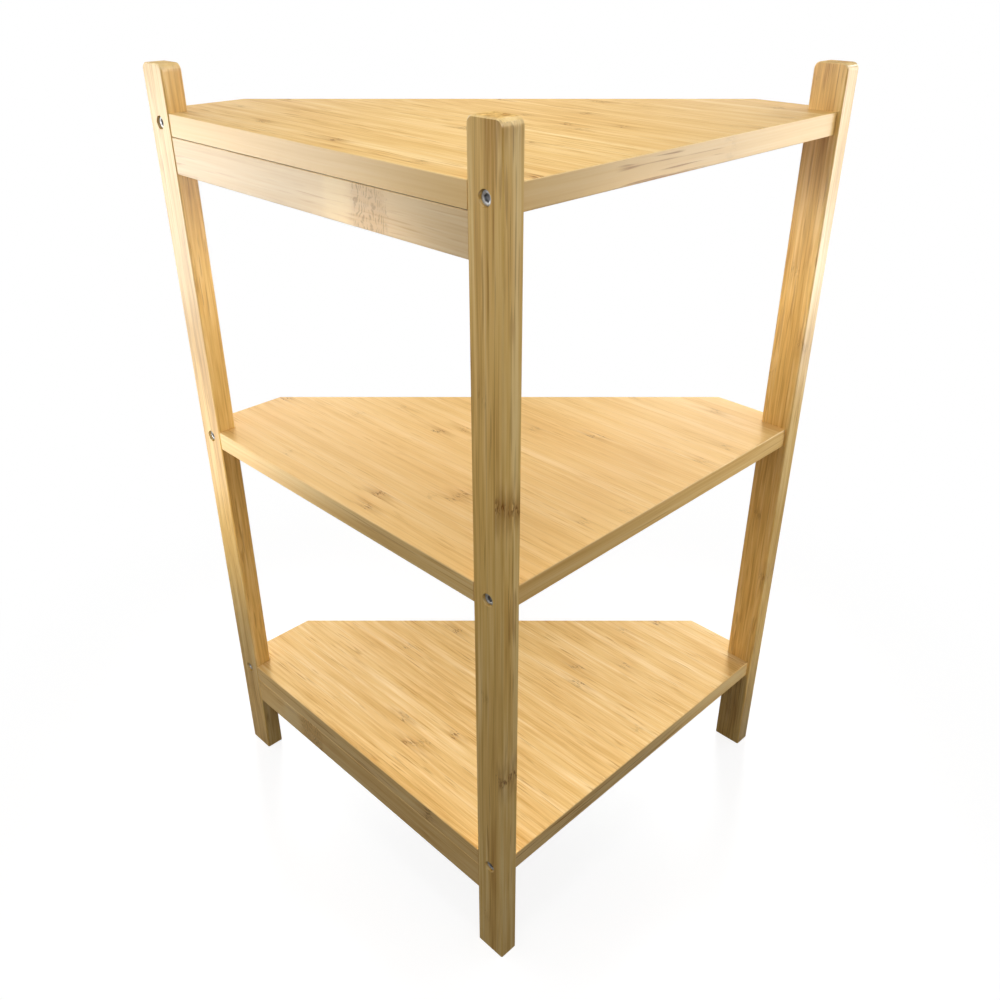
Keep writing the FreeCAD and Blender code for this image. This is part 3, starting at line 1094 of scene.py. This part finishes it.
@dataclass
class Posts:
    """The three uprights, each glued up from strips that stand side by side across its wide face."""

    CORNER: ClassVar[BambooFinish] = BambooFinish(
        dark=paint(190, 138, 54),
        middle=paint(232, 189, 106),
        pale=paint(250, 217, 148),
        streak=paint(160, 104, 24),
        # The paler edge colour and larger arris share paint a highlight along the posts' edges, as well as
        # sanded wood.
        sanded_and_highlight=paint(250, 222, 164),
        strip_contrast=0.3,
        slow_contrast=1.2,
        medium_contrast=1.3,
        fine_contrast=1.0,
        draw=1.8,
        smudge_share=0.6,
        speck_share=0.85,
        arris_share=0.5,
        knuckle_spacing=0.21,
        coat=0.5,
    )
    END: ClassVar[BambooFinish] = replace(
        CORNER,
        dark=paint(186, 134, 52),
        middle=paint(227, 184, 104),
        pale=paint(246, 213, 146),
        slow_contrast=1.0,
        medium_contrast=0.9,
        fine_contrast=1.2,
        draw=1.0,
        smudge_share=0.45,
        speck_share=0.5,
        coat=1.0,
    )
    groups: GrainGroups
    strips: int = 4
    layers: int = 1
    panels: tuple[Panel, ...] = (
        Panel("corner_post", 3.0, CORNER),
        Panel("rail_post", 11.0, END),
        Panel("side_post", 19.0, END),
    )

    def build(self) -> Iterator[bpy.types.Object]:
        """Dresses each post and gives it back."""
        for panel in self.panels:
            lay = Lamination(*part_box(panel.node), Axis.Z, Axis.X, Axis.Y, self.strips, self.layers)
            yield panel.dress(self.groups, lay)


@dataclass
class Shelves:
    """The three panels, with strips along the rails and lippings round their edges."""

    # The top and bottom panels paint shade on their lower edges over the rails.
    TOP: ClassVar[BambooFinish] = BambooFinish(
        under_shade_share=0.85, edge_contrast=0.5, edge_dashes=2.0, gather=0.03, coat=0.85
    )
    MIDDLE: ClassVar[BambooFinish] = BambooFinish(edge_contrast=1.4).graded(0.6)
    BOTTOM: ClassVar[BambooFinish] = BambooFinish(under_shade_share=0.85).graded(1.25)
    groups: GrainGroups
    strips: int = 42
    layers: int = 3
    panels: tuple[Panel, ...] = (
        Panel("top_shelf", 205.0, TOP),
        Panel("middle_shelf", 431.0, MIDDLE),
        Panel("bottom_shelf", 677.0, BOTTOM),
    )

    def build(self) -> Iterator[bpy.types.Object]:
        """Dresses each panel and gives it back."""
        for panel in self.panels:
            low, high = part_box(panel.node)
            lay = Lamination(low, high, Axis.X, Axis.Y, Axis.Z, self.strips, self.layers, lipped=True)
            yield panel.dress(self.groups, lay)


@dataclass
class Rails:
    """The two rails, whose strips lie flat against each other behind the outer face.

    The upper one is painted paler and greyer, as painted light for the brighter light that falls on it.
    """

    # Painted light: the upper rail's paler, greyer colours stand in for the brighter light that falls on it.
    TOP: ClassVar[BambooFinish] = BambooFinish(
        dark=paint(202, 160, 102),
        middle=paint(229, 196, 143),
        pale=paint(241, 217, 175),
        draw=1.5,
        smudge_share=0.0,
        speck_share=0.0,
    ).graded(0.75)
    BOTTOM: ClassVar[BambooFinish] = BambooFinish(knuckle_spacing=0.26)
    groups: GrainGroups
    strips: int = 1
    layers: int = 3
    panels: tuple[Panel, ...] = (
        Panel("top_rail", 29.0, TOP, wrinkle=0.08),
        Panel("bottom_rail", 37.0, BOTTOM, wrinkle=0.21),
    )

    def build(self) -> Iterator[bpy.types.Object]:
        """Dresses each rail and gives it back."""
        for panel in self.panels:
            lay = Lamination(*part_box(panel.node), Axis.X, Axis.Z, Axis.Y, self.strips, self.layers)
            yield panel.dress(self.groups, lay)


@dataclass
class Screws:
    """The nine socket screws, each sunk in a post and driven into a panel's edge."""

    MOUTH_RING: ClassVar[int] = 3
    finish: SteelFinish = SteelFinish()
    slot: str = "screw_steel"
    posts: tuple[str, ...] = ("corner", "rail", "side")
    levels: tuple[str, ...] = ("top", "middle", "bottom")
    columns: int = 48
    head_height: float = 3.0 * MM
    rim_radius: float = 0.55 * MM
    rim_rings: int = 6
    socket_flats: float = 4.0 * MM
    socket_depth: float = 2.2 * MM
    socket_point: float = 0.5 * MM
    socket_lead: float = 0.25 * MM
    floor_share: float = 0.96
    floor_edge: float = 0.1 * MM
    shank_radius: float = 3.1 * MM
    core_radius: float = 2.25 * MM
    plain_length: float = 9.0 * MM
    tip_length: float = 5.0 * MM
    pitch: float = 2.8 * MM
    rings_per_pitch: int = 10
    flank_slope: float = 2.6
    sharp_degrees: float = 32.0

    def build(self) -> Iterator[bpy.types.Object]:
        """Makes each screw in its CAD node's place and gives it back."""
        steel = self.finish.material("plated_steel")
        for post in self.posts:
            for level in self.levels:
                node = f"screw_{post}_{level}"
                piece = self._screw(f"socket_screw_{post}_{level}", *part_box(node))
                yield stand_in(piece, node, self.slot, steel)

    def _screw(self, name: str, low: Vector, high: Vector) -> bpy.types.Object:
        """Makes one screw along Y, with its head outwards.

        The rings run from the middle of the socket's floor up its six walls, over the head and down the shank
        to the point.

        Args:
            name: The piece's name.
            low: The node's lowest corner.
            high: The node's highest corner.

        Returns:
            The screw's object.
        """
        middle = (low + high) / 2
        outwards = math.copysign(1.0, middle.y)
        head = Vector((middle.x, high.y if outwards > 0 else low.y, middle.z))
        axis = Vector((0.0, -outwards, 0.0))
        head_ways, head_radii = self._head((high.x - low.x) / 2)
        thread_ways, thread_radii = self._thread(high.y - low.y)
        ways = np.concatenate([head_ways, thread_ways])
        radii = np.concatenate([head_radii, thread_radii])
        profile = profile_ways(ways, radii)
        rings = rings_on_axis(head, axis, ways, radii)
        return lathe(name, rings, profile - profile[self.MOUTH_RING], self.sharp_degrees)

    def _head(self, head_radius: float) -> tuple[np.ndarray, np.ndarray]:
        """Works out the socket and the head.

        Inside the socket the radius is half the flats over the cosine of the angle to the nearest flat, and
        the head's rim is a quarter of a circle.

        Args:
            head_radius: The head's radius.

        Returns:
            The way along the axis at each ring, and the radius at each ring and column.
        """
        around = np.ones(self.columns)
        turn = np.arange(self.columns) / self.columns
        flat_angle = (2 * np.pi * turn + np.pi / 6) % (np.pi / 3) - np.pi / 6
        hexagon = self.socket_flats / 2 / np.cos(flat_angle)
        lead_radius = self.socket_flats / 2 / math.cos(math.pi / 6) + self.socket_lead
        rim = np.linspace(0, np.pi / 2, self.rim_rings)
        rim_ways = self.rim_radius * (1 - np.cos(rim))
        rim_radii = head_radius - self.rim_radius * (1 - np.sin(rim))
        rows = [
            (self.socket_depth + self.socket_point, 0.0 * around),
            (self.socket_depth, self.floor_share * hexagon),
            (self.socket_depth - self.floor_edge, hexagon),
            (self.socket_lead, hexagon),
            (0.0, lead_radius * around),
            *((way, radius * around) for way, radius in zip(rim_ways, rim_radii)),
            (self.head_height, head_radius * around),
            (self.head_height, self.shank_radius * around),
        ]
        ways, radii = zip(*rows)
        return np.array(ways), np.array(radii)

    def _thread(self, length: float) -> tuple[np.ndarray, np.ndarray]:
        """Works out the thread and the point.

        The radius is the core's, plus the thread's depth times a triangular wave of way over pitch less the
        share of a turn, and it shrinks evenly along the point.

        Args:
            length: The screw's whole length.

        Returns:
            The way along the axis at each ring, and the radius at each ring and column.
        """
        count = int((length - self.plain_length) / self.pitch * self.rings_per_pitch)
        ways = np.linspace(self.plain_length, length, count)
        turn = np.arange(self.columns) / self.columns
        phase = (ways[:, None] / self.pitch - turn) % 1.0
        wave = np.clip(1.0 - self.flank_slope * np.abs(phase - 0.5), 0.0, 1.0)
        starts = np.clip((ways - self.plain_length) / self.pitch, 0.0, 1.0)[:, None]
        radii = self.core_radius + (self.shank_radius - self.core_radius) * np.maximum(wave, 1.0 - starts)
        return ways, radii * np.clip((length - ways) / self.tip_length, 0.0, 1.0)[:, None]


@dataclass
class Dowels:
    """The fluted pins inside the rails' ends."""

    groups: GrainGroups
    finish: BambooFinish = BambooFinish(strip_contrast=0.1, smudge_share=0.0, speck_share=0.0, pale_share=0.0)
    slot: str = "dowel_wood"
    rails: tuple[str, ...] = ("top", "bottom")
    posts: tuple[str, ...] = ("corner", "rail")
    sides: tuple[str, ...] = ("upper", "lower")
    columns: int = 72
    flutes: int = 18
    flute_depth: float = 0.25 * MM
    chamfer: float = 0.8 * MM
    sharp_degrees: float = 40.0

    def build(self) -> Iterator[bpy.types.Object]:
        """Makes each dowel in its CAD node's place and gives it back."""
        names = [f"{rail}_{post}_{side}" for rail in self.rails for post in self.posts for side in self.sides]
        for number, name in enumerate(names):
            node = f"dowel_{name}"
            low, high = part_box(node)
            lay = Lamination(low, high, Axis.X, Axis.Y, Axis.Z, strips=1, layers=1)
            wood = self.finish.material(f"wood_{node}", self.groups, lay, float(number))
            yield stand_in(self._dowel(f"fluted_dowel_{name}", low, high), node, self.slot, wood)

    def _dowel(self, name: str, low: Vector, high: Vector) -> bpy.types.Object:
        """Makes one dowel along X.

        The radius is the pin's, less the flutes' depth times the square of the cosine of half the flutes'
        angle, and both ends are chamfered to a flat disc.

        Args:
            name: The piece's name.
            low: The node's lowest corner.
            high: The node's highest corner.

        Returns:
            The dowel's object.
        """
        length = high.x - low.x
        radius = (high.y - low.y) / 2
        angle = 2 * np.pi * np.arange(self.columns) / self.columns
        fluted = radius - self.flute_depth * np.cos(self.flutes * angle / 2) ** 2
        smooth = (radius - self.chamfer) * np.ones(self.columns)
        ways = np.array([0.0, 0.0, self.chamfer, length - self.chamfer, length, length])
        radii = np.stack([0 * smooth, smooth, fluted, fluted, smooth, 0 * smooth])
        start = Vector((low.x, (low.y + high.y) / 2, (low.z + high.z) / 2))
        rings = rings_on_axis(start, Vector((1.0, 0.0, 0.0)), ways, radii)
        return lathe(name, rings, profile_ways(ways, radii), self.sharp_degrees)


@dataclass(frozen=True)
class Softbox:
    """A rectangular lamp that faces a point, with a grid that narrows its beam to so many degrees."""

    name: str
    place: Point
    aim: Point
    width: float
    height: float
    watts: float
    beam: float

    def build(self) -> None:
        """Hangs the lamp, out of the camera's sight."""
        lamp = bpy.data.lights.new(self.name, "AREA")
        lamp.shape = "RECTANGLE"
        lamp.size = self.width
        lamp.size_y = self.height
        lamp.energy = self.watts
        lamp.spread = math.radians(self.beam)
        aimed(self.name, lamp, self.place, self.aim).visible_camera = False


@dataclass
class Studio:
    """A white room: pale floor, white surroundings, soft lamps and the camera."""

    eye: Point = (-0.4989, 0.4995, 0.6704)
    aim: Point = (0.0525, -0.0517, 0.2209)
    lens: float = 35.0
    sensor: float = 36.0
    clip_start: float = 0.01
    floor_half: float = 12.0
    floor_bounce: float = 0.1
    floor_paint: float = 0.3
    floor_glow: float = 0.84
    floor_mirrored: float = 0.08
    sky_mirrored: float = 1.0
    fade_start: float = 0.3
    fade_end: float = 0.62
    sky: float = 0.47
    lamps: tuple[Softbox, ...] = (
        Softbox("overhead", (-0.15, 0.15, 1.2), (-0.15, 0.15, 0.58), 0.3, 0.3, 0.14, 44.0),
        Softbox("camera_fill", (-0.6, 0.6, 0.75), (-0.15, 0.15, 0.62), 0.35, 0.35, 0.05, 90.0),
        Softbox("corner_fill", (-0.65, 0.75, 0.95), (-0.16, 0.16, 0.56), 0.25, 0.25, 0.04, 24.0),
        Softbox("left_top", (0.7, 0.2, 0.95), (-0.1, -0.1, 0.58), 0.3, 0.2, 0.13, 40.0),
        Softbox("right_top", (-0.2, -0.7, 0.95), (0.1, 0.1, 0.58), 0.3, 0.2, 0.2, 40.0),
        Softbox("left_wash", (0.52, 0.4, 0.5), (0.16, 0.16, 0.5), 0.4, 0.4, 0.19, 80.0),
        Softbox("right_wash", (-0.4, -0.52, 0.5), (-0.16, -0.16, 0.5), 0.4, 0.4, 0.29, 80.0),
        Softbox("right_mid_wash", (-0.5, -0.3, 0.42), (-0.165, -0.12, 0.36), 0.2, 0.2, 0.075, 60.0),
        Softbox("left_low_wash", (0.53, 0.39, 0.3), (0.16, 0.16, 0.4), 0.4, 0.48, 0.27, 100.0),
        Softbox("right_low_wash", (-0.4, -0.52, 0.3), (-0.16, -0.16, 0.42), 0.4, 0.2, 0.09, 100.0),
        Softbox("left_near_top", (0.28, 0.48, 0.56), (0.16, 0.16, 0.56), 0.3, 0.2, 0.1, 50.0),
        Softbox("right_near_top", (-0.48, -0.28, 0.56), (-0.16, -0.16, 0.56), 0.3, 0.2, 0.075, 50.0),
        Softbox("left_near", (0.12, 0.5, 0.34), (0.16, 0.16, 0.33), 0.2, 0.15, 0.09, 50.0),
        Softbox("left_near_low", (0.14, 0.5, 0.2), (0.16, 0.16, 0.24), 0.2, 0.15, 0.04, 40.0),
        Softbox("left_foot", (0.14, 0.5, 0.08), (0.16, 0.16, 0.05), 0.1, 0.1, 0.007, 30.0),
        Softbox("right_near_low", (-0.5, -0.14, 0.15), (-0.16, -0.16, 0.14), 0.2, 0.15, 0.035, 36.0),
        Softbox("left_bay", (0.04, 0.5, 0.52), (-0.157, -0.152, 0.46), 0.08, 0.08, 0.021, 16.0),
        Softbox("right_bay", (-0.5, -0.04, 0.52), (0.152, 0.157, 0.47), 0.08, 0.08, 0.018, 16.0),
        Softbox("left_tip", (0.1, 0.6, 0.75), (-0.157, -0.152, 0.588), 0.08, 0.08, 0.005, 10.0),
        Softbox("right_tip", (-0.6, -0.1, 0.75), (0.152, 0.157, 0.588), 0.08, 0.08, 0.0055, 10.0),
        Softbox("middle_front", (0.5, -0.5, 1.0), (-0.02, 0.02, 0.334), 0.2, 0.2, 0.05, 24.0),
        Softbox("left_end", (0.76, -0.24, 0.67), (0.13, 0.13, 0.334), 0.25, 0.25, 0.14, 30.0),
        Softbox("right_end", (0.24, -0.76, 0.67), (-0.13, -0.13, 0.334), 0.25, 0.25, 0.17, 30.0),
        Softbox("left_low_end", (0.76, -0.24, 0.43), (0.13, 0.13, 0.098), 0.25, 0.25, 0.23, 30.0),
        Softbox("right_low_end", (0.24, -0.76, 0.43), (-0.13, -0.13, 0.098), 0.25, 0.25, 0.25, 30.0),
    )

    def build(self) -> None:
        """Sets up the whole room."""
        self._camera()
        self._floor()
        self._surroundings()
        for lamp in self.lamps:
            lamp.build()
        bpy.context.scene.view_settings.view_transform = "Standard"

    def _camera(self) -> None:
        """Sets the camera where the photograph was taken from."""
        data = bpy.data.cameras.new("camera")
        data.lens = self.lens
        data.sensor_width = self.sensor
        data.clip_start = self.clip_start
        bpy.context.scene.camera = aimed("camera", data, self.eye, self.aim)

    def _seen(self, sheet: NodeSheet, mirrored: float) -> bpy.types.NodeSocket:
        """Tells the rays that show a surface as a picture from those that carry its light.

        Args:
            sheet: Where the nodes go.
            mirrored: The share that reflections get.

        Returns:
            A socket that is 1 to the eye, the share to reflections and 0 to other rays.
        """
        path = sheet.node("ShaderNodeLightPath").outputs
        direct = sheet.math("MAXIMUM", path["Is Camera Ray"], path["Is Transmission Ray"])
        return sheet.math("MAXIMUM", direct, sheet.math("MULTIPLY", path["Is Glossy Ray"], mirrored))

    def _floor(self) -> None:
        """Lays a floor that looks white, keeps a soft shadow and fades to plain white farther off."""
        half = self.floor_half
        mesh = bpy.data.meshes.new("floor")
        corners = [(-half, -half, 0.0), (half, -half, 0.0), (half, half, 0.0), (-half, half, 0.0)]
        mesh.from_pydata(corners, [], [(0, 1, 2, 3)])
        made = placed("floor", mesh)
        finish = bpy.data.materials.new("white_floor")
        sheet = NodeSheet.blank(finish)
        bounce = sheet.node("ShaderNodeBsdfDiffuse", grey(self.floor_bounce))
        shaded = sheet.node("ShaderNodeBsdfDiffuse", grey(self.floor_paint))
        glow = sheet.node("ShaderNodeEmission", grey(1.0), self.floor_glow)
        near = sheet.node("ShaderNodeAddShader", shaded.outputs[0], glow.outputs[0])
        white = sheet.node("ShaderNodeEmission", grey(1.0), 1.0)
        place = sheet.node("ShaderNodeTexCoord").outputs["Object"]
        away = sheet.ease(sheet.vector("LENGTH", place).outputs["Value"], self.fade_start, self.fade_end)
        shown = sheet.blend(away, near, white)
        sheet.surface(sheet.blend(self._seen(sheet, self.floor_mirrored), bounce, shown))
        mesh.materials.append(finish)

    def _surroundings(self) -> None:
        """Makes the world white to the eye and in reflections, and a dim even light to everything else."""
        world = bpy.data.worlds.new("white_room")
        sheet = NodeSheet.blank(world)
        dim = sheet.node("ShaderNodeBackground", grey(1.0), self.sky)
        white = sheet.node("ShaderNodeBackground", grey(1.0), 1.0)
        sheet.surface(sheet.blend(self._seen(sheet, self.sky_mirrored), dim, white), "ShaderNodeOutputWorld")
        bpy.context.scene.world = world


def main() -> None:
    """Builds the sub-assemblies in order, reports their pieces and sets up the room."""
    logging.basicConfig(level=logging.INFO, format="%(name)s: %(message)s")
    groups = GrainGroups()
    for assembly in (Posts(groups), Shelves(groups), Rails(groups), Screws(), Dowels(groups)):
        for piece in assembly.build():
            log.info("%s: %s, %d faces", type(assembly).__name__, piece.name, len(piece.data.polygons))
    Studio().build()


if __name__ == "__main__":
    main()
